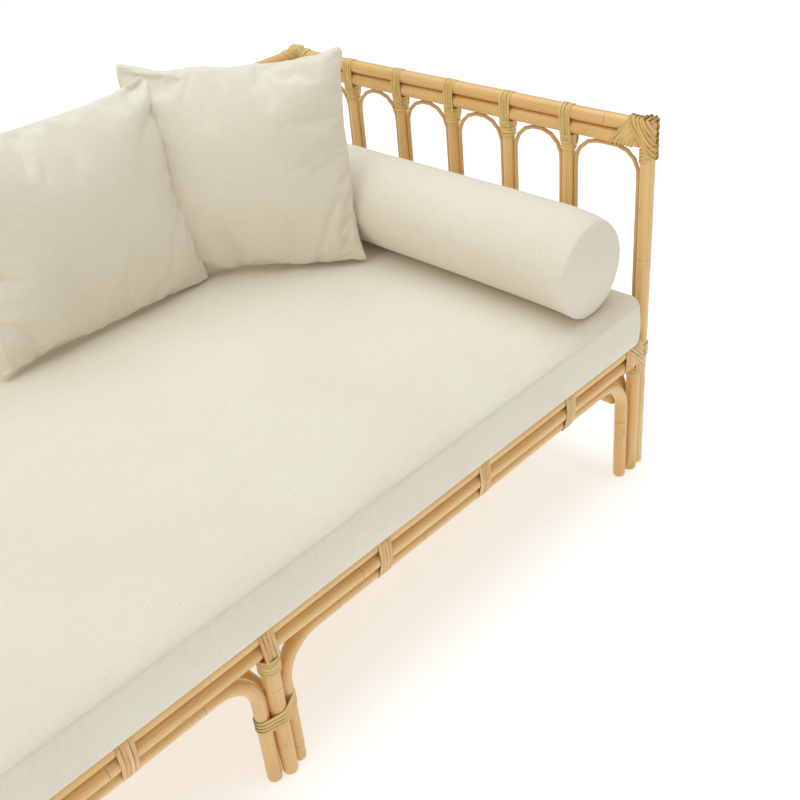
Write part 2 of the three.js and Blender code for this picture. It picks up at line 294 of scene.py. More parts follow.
def frames_along(points):
    """Parallel-transported side vectors for each point of a line."""
    tangents = np.gradient(points, axis=0)
    tangents /= np.linalg.norm(tangents, axis=1)[:, None]
    helper = np.array([0.0, 0.0, 1.0]) if abs(tangents[0][2]) < 0.9 else np.array([1.0, 0.0, 0.0])
    side = unit(np.cross(tangents[0], helper))
    sides = []
    for t in tangents:
        side = unit(side - t * np.dot(side, t))
        sides.append(side)
    sides = np.array(sides)
    return tangents, sides, np.cross(tangents, sides)


def pole_parts(points, radius, seed, rings=None, sides=POLE_SIDES, step=0.012, wobble=0.0005):
    """Vertices, faces and attributes of one natural pole along a line. radius is one number or (start, end).

    A growth ring is a low swelling with a fine groove in it, and the ends are bevelled.
    """
    rnd = random.Random(seed)
    points = np.asarray(points, dtype=float)
    total = arc_lengths(points)[-1]
    r0, r1 = radius if isinstance(radius, tuple) else (radius, radius)
    if rings is None:
        rings, at = [], rnd.uniform(0.06, 0.26)
        while at < total - 0.03:
            rings.append(at)
            at += rnd.uniform(0.27, 0.50)
    bevel = min(BEVEL, 0.4 * r0)
    stations = set(np.linspace(0, total, max(4, int(total / step))).tolist())
    for ring in rings:
        stations.update(ring + d for d in RING_STEPS)
    ends = (0.0, bevel * 0.25, bevel * 0.6, bevel)
    stations.update(ends)
    stations.update(total - e for e in ends)
    stations = np.array(sorted(v for v in stations if 0 <= v <= total))
    stations = stations[np.concatenate([[True], np.diff(stations) > 1e-5])]
    line = sample_line(points, stations)
    _, side, other = frames_along(line)
    phase = rnd.uniform(0, 50)
    verts, place, ring_at, tint = [], [], [], []
    tone = rnd.random()
    for i, s in enumerate(stations):
        share = s / total
        r = r0 + (r1 - r0) * share
        r *= 1 + UNEVEN * noise.noise(Vector((phase, s * 6, 0.3)))
        near = min((abs(s - q) for q in rings), default=1.0)
        r += RING_SWELL * math.exp(-((near / 0.003) ** 2)) - RING_GROOVE * math.exp(-((near / 0.0007) ** 2))
        edge = min(s, total - s)
        if edge < bevel:
            r -= bevel * (1 - math.sqrt(max(0.0, 1 - (1 - edge / bevel) ** 2))) * 0.9
        sway = min(1.0, edge / 0.05) * wobble
        shift = side[i] * noise.noise(Vector((phase + 9, s * 3.1, 1))) * sway * 2
        shift = shift + other[i] * noise.noise(Vector((phase + 21, s * 3.1, 4))) * sway * 2
        for k in range(sides):
            a = 2 * math.pi * k / sides
            spoke = side[i] * math.cos(a) + other[i] * math.sin(a)
            verts.append(line[i] + shift + spoke * r)
            place.append((math.cos(a) * r, math.sin(a) * r, s + phase))
            ring_at.append(near)
            tint.append(tone)
    n = len(stations)
    faces = [(i * sides + k, i * sides + (k + 1) % sides, (i + 1) * sides + (k + 1) % sides, (i + 1) * sides + k)
             for i in range(n - 1) for k in range(sides)]
    for end, centre in ((0, line[0]), (n - 1, line[-1])):
        verts.append(centre)
        place.append((0, 0, stations[end] + phase))
        ring_at.append(1.0)
        tint.append(tone)
        tip = len(verts) - 1
        for k in range(sides):
            a, b = end * sides + k, end * sides + (k + 1) % sides
            faces.append((tip, b, a) if end == 0 else (tip, a, b))
    return verts, faces, place, ring_at, tint


def set_threads(obj, coords):
    """Store thread coordinates in metres on every face corner, so that the weave can turn at a seam."""
    layer = obj.data.attributes.new("cloth", "FLOAT_VECTOR", "CORNER")
    layer.data.foreach_set("vector", np.asarray(coords, dtype=np.float32).ravel())


def join_parts(parts):
    verts, faces, place, ring, tint = [], [], [], [], []
    for v, f, p, r, t in parts:
        base = len(verts)
        verts += v
        faces += [tuple(i + base for i in face) for face in f]
        place += p
        ring += r
        tint += t
    return verts, faces, place, ring, tint


def rattan_object(name, parts, material, node=None):
    verts, faces, place, ring, tint = join_parts(parts)
    obj = new_object(name, verts, faces, material,
                     [("pole", "FLOAT_VECTOR", place), ("ring", "FLOAT", ring), ("tint", "FLOAT", tint)])
    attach(obj, "frame")
    if node:
        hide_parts(node)
    return obj


# growth rings that stand out, as distances from the foot or the left or front end
SEEN_RINGS = {
    "front_right_tall_post": [0.130, 0.46],
    "front_right_corner_post": [],
    "front_centre_post": [0.188],
    "right_arm_top_rail_upper": [0.070, 0.41, 0.70],
    "right_arm_top_rail_lower": [0.21, 0.52],
    "front_seat_rail_upper": [0.31, 0.83, 1.42],
    "front_seat_rail_lower": [0.20, 0.66, 1.12, 1.60],
}


def straight_line(name):
    """Axis ends and radius of a straight CAD pole, from its box."""
    lo, hi = node_box(name)
    size = hi - lo
    axis = int(np.argmax(size))
    mid = (lo + hi) / 2
    a, b = mid.copy(), mid.copy()
    a[axis], b[axis] = lo[axis], hi[axis]
    radius = float(np.sort(size)[:2].mean()) / 2
    return a, b, radius


def bent_line(place, s0, s1, top, bend0, bend1, foot0=0.0, foot1=0.0, steps=14):
    """Line up at s0, across at height top and down at s1, with a quarter bend at each turn."""
    points = [place(s0, foot0)]
    for i in range(steps + 1):
        a = math.pi / 2 * i / steps
        points.append(place(s0 + bend0 * (1 - math.cos(a)), top - bend0 * (1 - math.sin(a))))
    for i in range(steps + 1):
        a = math.pi / 2 * i / steps
        points.append(place(s1 - bend1 * (1 - math.sin(a)), top - bend1 * (1 - math.cos(a))))
    points.append(place(s1, foot1))
    return np.array(points)


CENTRE_FOOT = 0.86  # the centre posts taper to this share of their radius at the foot
STRAIGHT = [n for n in NODES if (n.endswith(("_post", "_stretcher")) or "_rail" in n or "_spindle_" in n)
            and "thin_arches" not in n]
for index, node in enumerate(sorted(STRAIGHT)):
    a, b, radius = straight_line(node)
    radii = (radius * CENTRE_FOOT, radius) if "centre_post" in node else radius
    part = pole_parts([a, b], radii, seed=100 + index, rings=SEEN_RINGS.get(node))
    rattan_object("pole_" + node, [part], RATTAN, node)

# bend radii of the leg arches: at the corner, at the centre and under the ends
BEND_CORNER, BEND_CENTRE, BEND_END = 0.075, 0.070, 0.105
LEG_RINGS = {"front_right_leg_arch": [0.034, 0.325, 0.600, 1.167], "front_left_leg_arch": [0.30, 0.72, 1.15]}
for index, node in enumerate(sorted(n for n in NODES if n.endswith("leg_arch"))):
    lo, hi = node_box(node)
    if "_end_" in node:
        r = (hi[0] - lo[0]) / 2
        x = (lo[0] + hi[0]) / 2
        line = bent_line(lambda s, z: (x, s, z), lo[1] + r, hi[1] - r, hi[2] - r, BEND_END, BEND_END)
    else:
        r = (hi[1] - lo[1]) / 2
        y = (lo[1] + hi[1]) / 2
        inner, outer = (lo[0] + r, hi[0] - r) if lo[0] > 0 else (hi[0] - r, lo[0] + r)
        sign = 1 if outer > 0 else -1
        line = bent_line(lambda s, z: (sign * s, y, z), abs(inner), abs(outer), hi[2] - r, BEND_CENTRE, BEND_CORNER)
    part = pole_parts(line, r, seed=300 + index, rings=LEG_RINGS.get(node))
    rattan_object("pole_" + node, [part], RATTAN, node)

# ---------------- thin arches and their bottom rails

THIN_R, THIN_BEND, SPINDLE_R, TALL_R, RAIL_R, HAIR = 0.004, 0.048, 0.012, 0.0133, 0.01315, 0.0003
BACK_REACH = 0.9304  # half length of the back's bottom rail
PANELS = {}
for prefix in ("left_arm", "right_arm", "back"):
    count = len([n for n in NODES if n.startswith(prefix + "_spindle_")])
    along = 0 if prefix == "back" else 1
    boxes = [node_box(f"{prefix}_spindle_{i + 1}") for i in range(count)]
    spindles = [float((lo[along] + hi[along]) / 2) for lo, hi in boxes]
    fixed = float((boxes[0][0][1 - along] + boxes[0][1][1 - along]) / 2)
    sides = ("back_left", "back_right") if prefix == "back" else (
        "front_" + prefix.split("_")[0], "back_" + prefix.split("_")[0])
    posts = [node_box(side + "_tall_post") for side in sides]
    ends = [float((lo[along] + hi[along]) / 2) for lo, hi in posts]
    upper, lower = (straight_line(f"{prefix}_top_rail_{w}") for w in ("upper", "lower"))
    lo, hi = node_box(prefix + "_bottom_rail_and_thin_arches")
    PANELS[prefix] = dict(along=along, spindles=spindles, fixed=fixed, ends=ends, foot=float(boxes[0][0][2]),
                          head=float(boxes[0][1][2]), upper=float(upper[0][2]), lower=float(lower[0][2]),
                          base=float(lo[2]) + RAIL_R, thin_top=float(hi[2]) - THIN_R)


def panel_point(panel, s, z):
    return (s, panel["fixed"], z) if panel["along"] == 0 else (panel["fixed"], s, z)


for number, (prefix, panel) in enumerate(PANELS.items()):
    ends, clear = panel["ends"], THIN_R + HAIR
    edges = [ends[0] + TALL_R]
    for s in panel["spindles"]:
        edges += [s - SPINDLE_R, s + SPINDLE_R]
    edges.append(ends[1] - TALL_R)
    reach = BACK_REACH if prefix == "back" else (ends[1] - ends[0]) / 2 - TALL_R - HAIR
    mid = (ends[0] + ends[1]) / 2
    rail = [panel_point(panel, mid - reach, panel["base"]), panel_point(panel, mid + reach, panel["base"])]
    parts = [pole_parts(rail, RAIL_R, seed=500 + number)]
    for i in range(0, len(edges), 2):
        legs = (edges[i] + clear, edges[i + 1] - clear)
        feet = [panel["base"] if abs(s - mid) < reach else panel["foot"] for s in legs]
        line = bent_line(lambda s, z: panel_point(panel, s, z), legs[0], legs[1], panel["thin_top"],
                         THIN_BEND, THIN_BEND, feet[0], feet[1], steps=10)
        parts.append(pole_parts(line, THIN_R, seed=520 + 40 * number + i, sides=12, step=0.02, wobble=0.0004))
    rattan_object(prefix + "_bottom_rail_and_arches", parts, RATTAN_THIN,
                  prefix + "_bottom_rail_and_thin_arches")

# ---------------- seat board

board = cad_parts["seat_board"]
board.data.materials.clear()
board.data.materials.append(BOARD)

# ---------------- bindings

# a strand's outline: across in strand widths, up in strand thicknesses
STRAND_SECTION = ((-0.5, 0.2), (-0.42, 0.78), (0.0, 1.0), (0.42, 0.78), (0.5, 0.2), (0.0, -0.2))
LOOP_POINTS = 40
CUT_POINTS = 40
MIN_SLOPE = 0.12  # poles nearly parallel to the plane are left out
UNTIDY, LOOSE = 0.014, 0.00035  # chance turn (radians) and lift of a strand
END_SLACK = 0.004  # how far past a pole's end a strand may still bear on it


def hull_2d(points):
    """Convex hull of points in the plane, counter-clockwise."""
    points = sorted(map(tuple, points))

    def half(items):
        chain = []
        for p in items:
            while len(chain) > 1 and ((chain[-1][0] - chain[-2][0]) * (p[1] - chain[-2][1])
                                      - (chain[-1][1] - chain[-2][1]) * (p[0] - chain[-2][0])) <= 1e-12:
                chain.pop()
            chain.append(p)
        return chain[:-1]
    return np.array(half(points) + half(points[::-1]))


def cut_by_plane(cylinder, origin, normal, lift):
    """Where a plane meets a pole (a, b, r), as points of the pole's outline lifted off its surface."""
    a, b, r = cylinder
    axis = unit(b - a)
    slope = float(np.dot(axis, normal))
    if abs(slope) < MIN_SLOPE:
        return []
    length = float(np.linalg.norm(b - a))
    u = unit(np.cross(axis, [0.3, 0.5, 0.81]))
    v = np.cross(axis, u)
    found = []
    for k in range(CUT_POINTS):
        t = 2 * math.pi * k / CUT_POINTS
        spoke = (u * math.cos(t) + v * math.sin(t)) * (r + lift)
        s = float(np.dot(normal, origin - a - spoke)) / slope
        if -END_SLACK <= s <= length + END_SLACK:
            found.append(a + axis * s + spoke)
    return found


def strand_loop(cylinders, origin, normal, width, thick, lift, rnd):
    """One strand wound once round a group of poles, in the plane through origin."""
    normal = unit(np.asarray(normal, dtype=float))
    origin = np.asarray(origin, dtype=float)
    cloud = [p for c in cylinders for p in cut_by_plane(c, origin, normal, lift)]
    if len(cloud) < 8:
        return None
    u = unit(np.cross(normal, [0.21, 0.43, 0.88]))
    v = np.cross(normal, u)
    flat = hull_2d([((p - origin) @ u, (p - origin) @ v) for p in cloud])
    closed = np.vstack([flat, flat[:1]])
    run = np.concatenate([[0], np.cumsum(np.linalg.norm(np.diff(closed, axis=0), axis=1))])
    at = np.linspace(0, run[-1], LOOP_POINTS, endpoint=False)
    path = np.column_stack([np.interp(at, run, closed[:, k]) for k in (0, 1)])
    tangent = np.roll(path, -1, axis=0) - np.roll(path, 1, axis=0)
    tangent /= np.linalg.norm(tangent, axis=1)[:, None]
    outward = np.column_stack([tangent[:, 1], -tangent[:, 0]])
    outward = (outward + np.roll(outward, 1, axis=0) + np.roll(outward, -1, axis=0)) / 3
    if np.sum(outward * (path - path.mean(axis=0))) < 0:
        outward = -outward
    verts, place, ring, tint = [], [], [], []
    phase, tone = rnd.uniform(0, 60), rnd.random()
    n = len(STRAND_SECTION)
    for i in range(LOOP_POINTS):
        point = origin + u * path[i][0] + v * path[i][1]
        out = u * outward[i][0] + v * outward[i][1]
        drift = normal * (noise.noise(Vector((phase, at[i] * 30, 0))) * 0.0006)
        swell = 1 + 0.10 * noise.noise(Vector((phase, at[i] * 45, 7)))
        for across, up in STRAND_SECTION:
            verts.append(point + drift + normal * (across * width * swell) + out * (up * thick))
            place.append((across * width, up * thick, at[i] + phase))
            ring.append(1.0)
            tint.append(tone)
    faces = []
    for i in range(LOOP_POINTS):
        here, ahead = i * n, (i + 1) % LOOP_POINTS * n
        faces += [(here + k, here + (k + 1) % n, ahead + (k + 1) % n, ahead + k) for k in range(n)]
    return verts, faces, place, ring, tint


class Binding:
    """Collects the strands of one kind of joint into one piece."""

    def __init__(self, name, material, seed):
        self.name, self.material, self.parts = name, material, []
        self.rnd = random.Random(seed)

    def wind(self, cylinders, origin, normal, turns, tilt, pitch=0.0066, width=0.0067, thick=0.0010, lift=0.0001,
             fan=0.0):
        """turns strands side by side along normal. Each plane is turned about tilt, a little by chance and by fan."""
        normal = unit(np.asarray(normal, dtype=float))
        for k in range(turns):
            step = k - (turns - 1) / 2
            angle = fan * step + self.rnd.uniform(-UNTIDY, UNTIDY)
            direction = arr(Matrix.Rotation(angle, 3, Vector(tilt)) @ Vector(normal))
            part = strand_loop(cylinders, origin + normal * (pitch * step), direction, width, thick,
                               lift + LOOSE * self.rnd.random(), self.rnd)
            if part:
                self.parts.append(part)

    def done(self):
        rattan_object(self.name, self.parts, self.material)


def short_face(middle, along, r):
    """A short level cylinder that holds strands against the face of an upright pole."""
    return middle - along * FACE_HALF, middle + along * FACE_HALF, r - 0.001


X, Y, Z = np.eye(3)
FACE_HALF = 0.03

# seat rails, every bay
BAY = 0.24
FACE_Z, FACE_TOP_Z, COLLAR_Z = 0.252, 0.260, 0.2370
LEG_X, LEG_BAND_TOP, LEG_BAND_Z = 0.0252, 0.165, 0.131
for seed, side in ((11, "front"), (12, "back")):
    if side == "front":
        upper = straight_line("front_seat_rail_upper")
    else:
        low_left, low_right = (np.array(panel_point(PANELS["back"], x, PANELS["back"]["base"])) for x in (-0.93, 0.93))
        upper = (low_left, low_right, RAIL_R)
    lower = straight_line(side + "_seat_rail_lower")
    lo, hi = node_box(side + "_right_leg_arch")
    leg_r = (hi[1] - lo[1]) / 2
    run_y, run_z = (lo[1] + hi[1]) / 2, hi[2] - leg_r
    run = (np.array([-0.88, run_y, run_z]), np.array([0.88, run_y, run_z]), leg_r)
    binding = Binding(side + "_rail_bindings", STRAND_PEACH, seed)
    for k in (-3, -2, -1, 1, 2, 3):
        binding.wind([upper, lower, run], np.array([k * BAY, run_y, lower[0][2]]), X, 4, Y, pitch=0.0069, width=0.0068)
    # over the centre post: strands down its face, then turns round its head
    post = straight_line(side + "_centre_post")
    post_y = post[0][1]
    collar = Binding(side + "_centre_leg_bindings", STRAND_YELLOW, seed + 2)
    face = short_face(np.array([0, post_y, FACE_Z]), X, post[2])
    binding.wind([upper, lower, face], np.array([0, post_y, FACE_TOP_Z]), X, 4, Y, width=0.0066)
    collar.wind([(post[0], post[1] + Z * 0.02, post[2])], np.array([0, post_y, COLLAR_Z]), Z, 5, X, pitch=0.0058,
                width=0.0062, thick=0.0013, lift=0.0016)
    # round the three legs at the centre
    legs = [post] + [(np.array([x, run_y, 0.0]), np.array([x, run_y, LEG_BAND_TOP]), leg_r) for x in (-LEG_X, LEG_X)]
    collar.wind(legs, np.array([0, run_y, LEG_BAND_Z]), unit(Z - 0.20 * X), 4, X, width=0.0068)
    binding.done()
    collar.done()

# arms and back: strands over both top rails, turns round every spindle head and foot
FACE_IN = 0.012
OVER_RAIL = dict(pitch=0.0062, width=0.0061)
ROUND_SPINDLE = dict(pitch=0.0058, width=0.006, lift=0.0013)
for number, (prefix, panel) in enumerate(PANELS.items()):
    along = X if panel["along"] == 0 else Y
    out = Y if panel["along"] == 0 else X
    binding = Binding(prefix + "_spindle_bindings", STRAND_YELLOW, 31 + number)
    upper, lower = (straight_line(prefix + "_top_rail_" + level) for level in ("upper", "lower"))
    base = (np.array(panel_point(panel, panel["ends"][0], panel["base"])),
            np.array(panel_point(panel, panel["ends"][1], panel["base"])), RAIL_R)
    for i, s in enumerate(panel["spindles"]):
        foot, head, r = straight_line(f"{prefix}_spindle_{i + 1}")
        near = np.array(panel_point(panel, s, 0.0))
        face_top = short_face(near + Z * (panel["head"] - FACE_IN), along, r)
        face_low = short_face(near + Z * (panel["foot"] + FACE_IN), along, r)
        slant = binding.rnd.uniform(-0.05, 0.05)
        binding.wind([upper, lower, face_top], near + Z * panel["lower"], along + Z * slant, 4, out, **OVER_RAIL)
        binding.wind([(foot, head + Z * 0.01, r)], near + Z * (panel["head"] - 0.015), Z, 5, along,
                     fan=binding.rnd.uniform(-0.02, 0.02), **ROUND_SPINDLE)
        binding.wind([base, face_low], near + Z * panel["base"], along, 3, out, **OVER_RAIL)
        binding.wind([(foot, head, r)], near + Z * (panel["foot"] + 0.017), Z, 4, along, **ROUND_SPINDLE)
    binding.done()

CORNERS = [(side, hand) for side in ("front", "back") for hand in ("left", "right")]

# top corners: turns over the rails, then crossed turns over the rail ends and the head of the tall post,
# and last the turns round the post under them
CORNER_TURNS, CORNER_ANGLE, CORNER_CLOSING = 8, 37, 1.6
for number, (side, hand) in enumerate(CORNERS):
    binding = Binding(f"{side}_{hand}_top_corner_binding", STRAND_YELLOW, 51 + number)
    post = straight_line(f"{side}_{hand}_tall_post")
    centre = post[1].copy()
    centre[2] = (PANELS[hand + "_arm"]["upper"] + PANELS[hand + "_arm"]["lower"]) / 2
    ways = [(Y if side == "front" else -Y, hand + "_arm")]
    if side == "back":
        ways.append((-X if hand == "right" else X, "back"))
    for way, panel_name in ways:
        flat = np.cross(way, Z)
        rails = []
        for level in ("upper", "lower"):
            middle = centre.copy()
            middle[2] = PANELS[panel_name][level]
            rails.append((middle, middle + way * 0.12, RAIL_R))
        binding.wind(rails, centre + way * 0.0345, unit(way + Z * 0.72), 6, flat, pitch=0.0057, width=0.0063,
                     fan=0.02, lift=0.0003)
        head = [(np.array([post[0][0], post[0][1], centre[2] - 0.043]), post[1], post[2])] + rails
        pivot = centre - way * 0.010 - Z * 0.035
        for k in range(CORNER_TURNS):
            angle = math.radians(CORNER_ANGLE - CORNER_CLOSING * k)
            across = way * math.cos(angle) - Z * math.sin(angle)
            binding.wind(head, pivot - across * 0.0051 * k, across, 1, flat, width=0.0064, lift=0.0020 - 0.00010 * k)
        binding.wind([post], centre - Z * 0.0345, unit(Z + way * 0.42), 4, flat, pitch=0.0057, width=0.0062,
                     lift=0.0008, fan=0.04)
    binding.done()

# seat corners: a fan of strands round the seat rail ends and the corner post, three slanting strands over it,
# a collar on the corner post and turns round the tall post
FAN_TURNS, FAN_START, FAN_STEP, FAN_X, FAN_OFF_POST = 12, -10, 5.2, 0.9025, 0.16
for number, (side, hand) in enumerate(CORNERS):
    sx = 1 if hand == "right" else -1
    peach = Binding(f"{side}_{hand}_seat_corner_binding", STRAND_PEACH, 71 + number)
    yellow = Binding(f"{side}_{hand}_tall_post_binding", STRAND_YELLOW, 81 + number)
    corner = straight_line(f"{side}_{hand}_corner_post")
    tall = straight_line(f"{side}_{hand}_tall_post")
    lower = straight_line(side + "_seat_rail_lower")
    upper = (lower[0].copy(), lower[1].copy(), lower[2])
    for end in upper[:2]:
        end[1] = corner[0][1]
        end[2] = corner[1][2] - RAIL_R
    side_on = X * sx
    post_low, post_high = corner[0] + Z * 0.243, corner[0] + Z * 0.297
    top = np.array([sx * FAN_X, corner[0][1], corner[1][2]])
    for k in range(FAN_TURNS):
        angle = math.radians(FAN_START + FAN_STEP * k)
        normal = side_on * math.cos(angle) + Z * math.sin(angle)
        held = [upper, lower] if angle < FAN_OFF_POST else [upper, lower, (post_low, corner[1], corner[2])]
        peach.wind(held, top + side_on * 0.0031 * k, normal, 1, Y, width=0.0066, lift=0.0002 + 0.0002 * k)
    peach.wind([upper, lower, (post_low, post_high, corner[2])], corner[0] + Z * 0.274 - side_on * 0.004,
               unit(side_on + Z), 3, Y, width=0.0062, lift=0.0030, fan=0.04)
    peach.wind([corner], corner[0] + Z * 0.2375, Z, 4, Y, pitch=0.0058, width=0.0062, thick=0.0012, lift=0.0008)
    yellow.wind([tall], tall[0] + Z * 0.270, unit(Z - side_on * 0.10), 4, Y, pitch=0.0064, width=0.0066, thick=0.0014,
                lift=0.0006)
    peach.done()
    yellow.done()

# ---------------- mattress


def rounded_outline(half_x, y0, y1, radius, inset, step=0.014):
    """Plan outline with the same number of points for every inset."""
    r = max(radius - inset * 0.35, 0.006)
    x, a, b = half_x - inset, y0 + inset, y1 - inset
    long_n, short_n, arc_n = int(2 * half_x / step), int((y1 - y0) / step), 7
    points = []
    corners = ((x - r, a + r, -90), (x - r, b - r, 0), (-x + r, b - r, 90), (-x + r, a + r, 180))
    for index, (cx, cy, start) in enumerate(corners):
        for i in range(arc_n + 1):
            t = math.radians(start + 90 * i / arc_n)
            points.append((cx + r * math.cos(t), cy + r * math.sin(t)))
        nx, ny, nstart = corners[(index + 1) % 4]
        t = math.radians(nstart)
        end = (nx + r * math.cos(t), ny + r * math.sin(t))
        n = short_n if index % 2 == 0 else long_n
        begin = points[-1]
        points += [(begin[0] + (end[0] - begin[0]) * k / n, begin[1] + (end[1] - begin[1]) * k / n)
                   for k in range(1, n)]
    return np.array(points)


lo, hi = node_box("mattress")
M_HALF, M_Y0, M_Y1, M_LOW = float(hi[0]) + 0.0025, float(lo[1]), float(hi[1]), float(lo[2])
M_CORNER = 0.034
SEAM_Z = 0.388
# (inset from the widest outline, height) from the middle of the underside, up the side panel and over the top
PROFILE = [(0.40, M_LOW + 0.001), (0.20, M_LOW + 0.001), (0.06, M_LOW + 0.001), (0.018, M_LOW + 0.0010),
           (0.007, M_LOW + 0.0011), (0.003, M_LOW + 0.0016), (0.0010, M_LOW + 0.0030), (0.0, M_LOW + 0.0055),
           (-0.0006, M_LOW + 0.0085), (-0.0010, M_LOW + 0.015), (-0.0018, M_LOW + 0.028), (-0.0022, M_LOW + 0.042),
           (-0.0016, M_LOW + 0.056), (-0.0004, SEAM_Z - 0.012), (0.0004, SEAM_Z - 0.005), (0.0010, SEAM_Z - 0.0018),
           (0.0020, SEAM_Z - 0.0002), (0.0016, SEAM_Z + 0.0010), (0.0032, SEAM_Z + 0.0028), (0.0095, SEAM_Z + 0.0060),
           (0.016, SEAM_Z + 0.0085), (0.025, SEAM_Z + 0.0106), (0.037, SEAM_Z + 0.0124), (0.052, SEAM_Z + 0.0138),
           (0.070, SEAM_Z + 0.0150), (0.092, SEAM_Z + 0.0159), (0.12, SEAM_Z + 0.0166), (0.155, SEAM_Z + 0.0171),
           (0.20, SEAM_Z + 0.0175), (0.25, SEAM_Z + 0.0178), (0.30, SEAM_Z + 0.0180), (0.35, SEAM_Z + 0.0180),
           (0.40, SEAM_Z + 0.0180)]
WALL_FIRST, WALL_END = 5, 16  # rows of PROFILE that belong to the side panel


def make_mattress():
    verts = []
    for inset, z in PROFILE:
        ring = rounded_outline(M_HALF, M_Y0, M_Y1, M_CORNER, inset)
        for x, y in ring:
            q = Vector((x * 3.1, y * 3.1, 0.0))
            on_top = 1.0 if z > SEAM_Z + 0.002 else 0.0
            soft = noise.noise(q) * 0.0022 + noise.noise(q * 3.3) * 0.0009
            pucker = noise.noise(Vector((x * 17, y * 17, 3))) * 0.0013 * math.exp(-max(inset, 0) / 0.03)
            dz = on_top * (soft * min(1.0, inset / 0.03) + pucker)
            verts.append([x, y, z + dz])
    plan = rounded_outline(M_HALF, M_Y0, M_Y1, M_CORNER, 0.0)
    n = len(plan)
    faces = [(k * n + i, k * n + (i + 1) % n, (k + 1) * n + (i + 1) % n, (k + 1) * n + i)
             for k in range(len(PROFILE) - 1) for i in range(n)]
    faces.append(tuple(range(n))[::-1])
    faces.append(tuple((len(PROFILE) - 1) * n + i for i in range(n)))
    obj = new_object("mattress_cover", verts, faces, CANVAS)
    girth = np.concatenate([[0.0], np.cumsum(np.linalg.norm(np.roll(plan, -1, axis=0) - plan, axis=1))])
    threads = []
    for k in range(len(PROFILE) - 1):
        wall = WALL_FIRST <= k < WALL_END
        for i in range(n):
            for ring, at in ((k, i), (k, i + 1), (k + 1, i + 1), (k + 1, i)):
                x, y, z = verts[ring * n + at % n]
                threads.append((girth[at], z, 0.0) if wall else (x, y, 0.0))
    for face in faces[-2:]:
        threads += [(verts[i][0], verts[i][1], 0.0) for i in face]
    set_threads(obj, threads)
    # the side panels bow out and in a little between the seams
    for v in obj.data.vertices:
        x, y, z = v.co
        if SEAM_Z - 0.006 > z > M_LOW + 0.01:
            push = noise.noise(Vector((x * 5, y * 5, z * 9))) * 0.0016
            if abs(y - M_Y0) < 0.02:
                v.co.y += push
            elif abs(abs(x) - M_HALF) < 0.02:
                v.co.x += push * (1 if x > 0 else -1)
    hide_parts("mattress")
    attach(obj, "mattress")


make_mattress()

# ---------------- bolster


CAP_SEAM = 0.0133  # depth of the end cap's seam
CAP_PROFILE = [
    (0.0, 0.0), (0.08, 0.0001), (0.18, 0.0005), (0.30, 0.0014), (0.42, 0.0028), (0.54, 0.0044), (0.66, 0.0062),
    (0.76, 0.0080), (0.84, 0.0096), (0.895, 0.0110), (0.925, 0.0119), (0.9385, 0.0124), (0.9440, 0.0130),
    (0.9350, 0.0136), (0.9435, 0.0142), (0.951, 0.0156), (0.961, 0.020), (0.971, 0.027), (0.981, 0.038),
    (0.990, 0.054), (0.997, 0.074)]  # (share of the radius, depth from the end)
BOLSTER_SIDES = 144


def make_bolster():
    lo, hi = node_box("bolster")
    r = float(hi[0] - lo[0]) / 2
    cx, cz = float(lo[0] + hi[0]) / 2, float(lo[2] + hi[2]) / 2
    y0, y1 = float(lo[1]), float(hi[1])
    span = y1 - y0
    body = np.linspace(0.088, span - 0.088, 52)
    profile = [(q * r, d) for q, d in CAP_PROFILE] + [(r, float(d)) for d in body]
    profile += [(q * r, span - d) for q, d in CAP_PROFILE[::-1]]
    sides = BOLSTER_SIDES
    verts = []
    for rr, d in profile:
        depth = min(d, span - d)
        near_cap = math.exp(-abs(depth - CAP_SEAM) / (0.010 if depth < CAP_SEAM else 0.026))
        droop = math.exp(-max(0.0, depth - CAP_SEAM) / 0.035)
        share = d / span
        shift_x, shift_z, slim = 0.018 * share - 0.010 * droop * (1 - share), -0.0035 * droop, 1 - 0.045 * share
        for k in range(sides):
            a = 2 * math.pi * k / sides
            ca, sa = math.cos(a), math.sin(a)
            q = Vector((ca * 2.2, sa * 2.2, d * 5))
            grow = 1 + 0.010 * noise.noise(q) + 0.004 * noise.noise(q * 2.7)
            pleat = noise.noise(Vector((ca * 9, sa * 9, 5 if d < span / 2 else 8))) * 0.0015 * near_cap
            rad = rr * grow * slim + pleat * (rr / r)
            y = y0 + d + pleat * 0.8 * (rr / r) ** 3 * (1 if d < span / 2 else -1)
            z = cz + shift_z + sa * rad
            floor = cz - r + 0.0035
            if z < floor:
                z = floor + (z - floor) * 0.12
            verts.append((cx + shift_x + ca * rad, y, z))
    n = len(profile)
    faces = [(i * sides + k, (i + 1) * sides + k, (i + 1) * sides + (k + 1) % sides, i * sides + (k + 1) % sides)
             for i in range(n - 1) for k in range(sides)]
    obj = new_object("bolster_cover", verts, faces, CANVAS)
    threads = []
    for i in range(n - 1):
        end_cap = all(min(d, span - d) < CAP_SEAM + 0.00025 for _, d in profile[i:i + 2])
        for k in range(sides):
            for ring, at in ((i, k), (i + 1, k), (i + 1, k + 1), (i, k + 1)):
                x, y, z = verts[ring * sides + at % sides]
                threads.append((x, z, 0.0) if end_cap else (2 * math.pi * r * at / sides, y, 0.0))
    set_threads(obj, threads)
    bm = bmesh.new()
    bm.from_mesh(obj.data)
    bmesh.ops.remove_doubles(bm, verts=bm.verts, dist=1e-5)
    bmesh.ops.recalc_face_normals(bm, faces=bm.faces)
    bm.to_mesh(obj.data)
    bm.free()
    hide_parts("bolster")
    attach(obj, "bolster")


make_bolster()

# ---------------- pillows

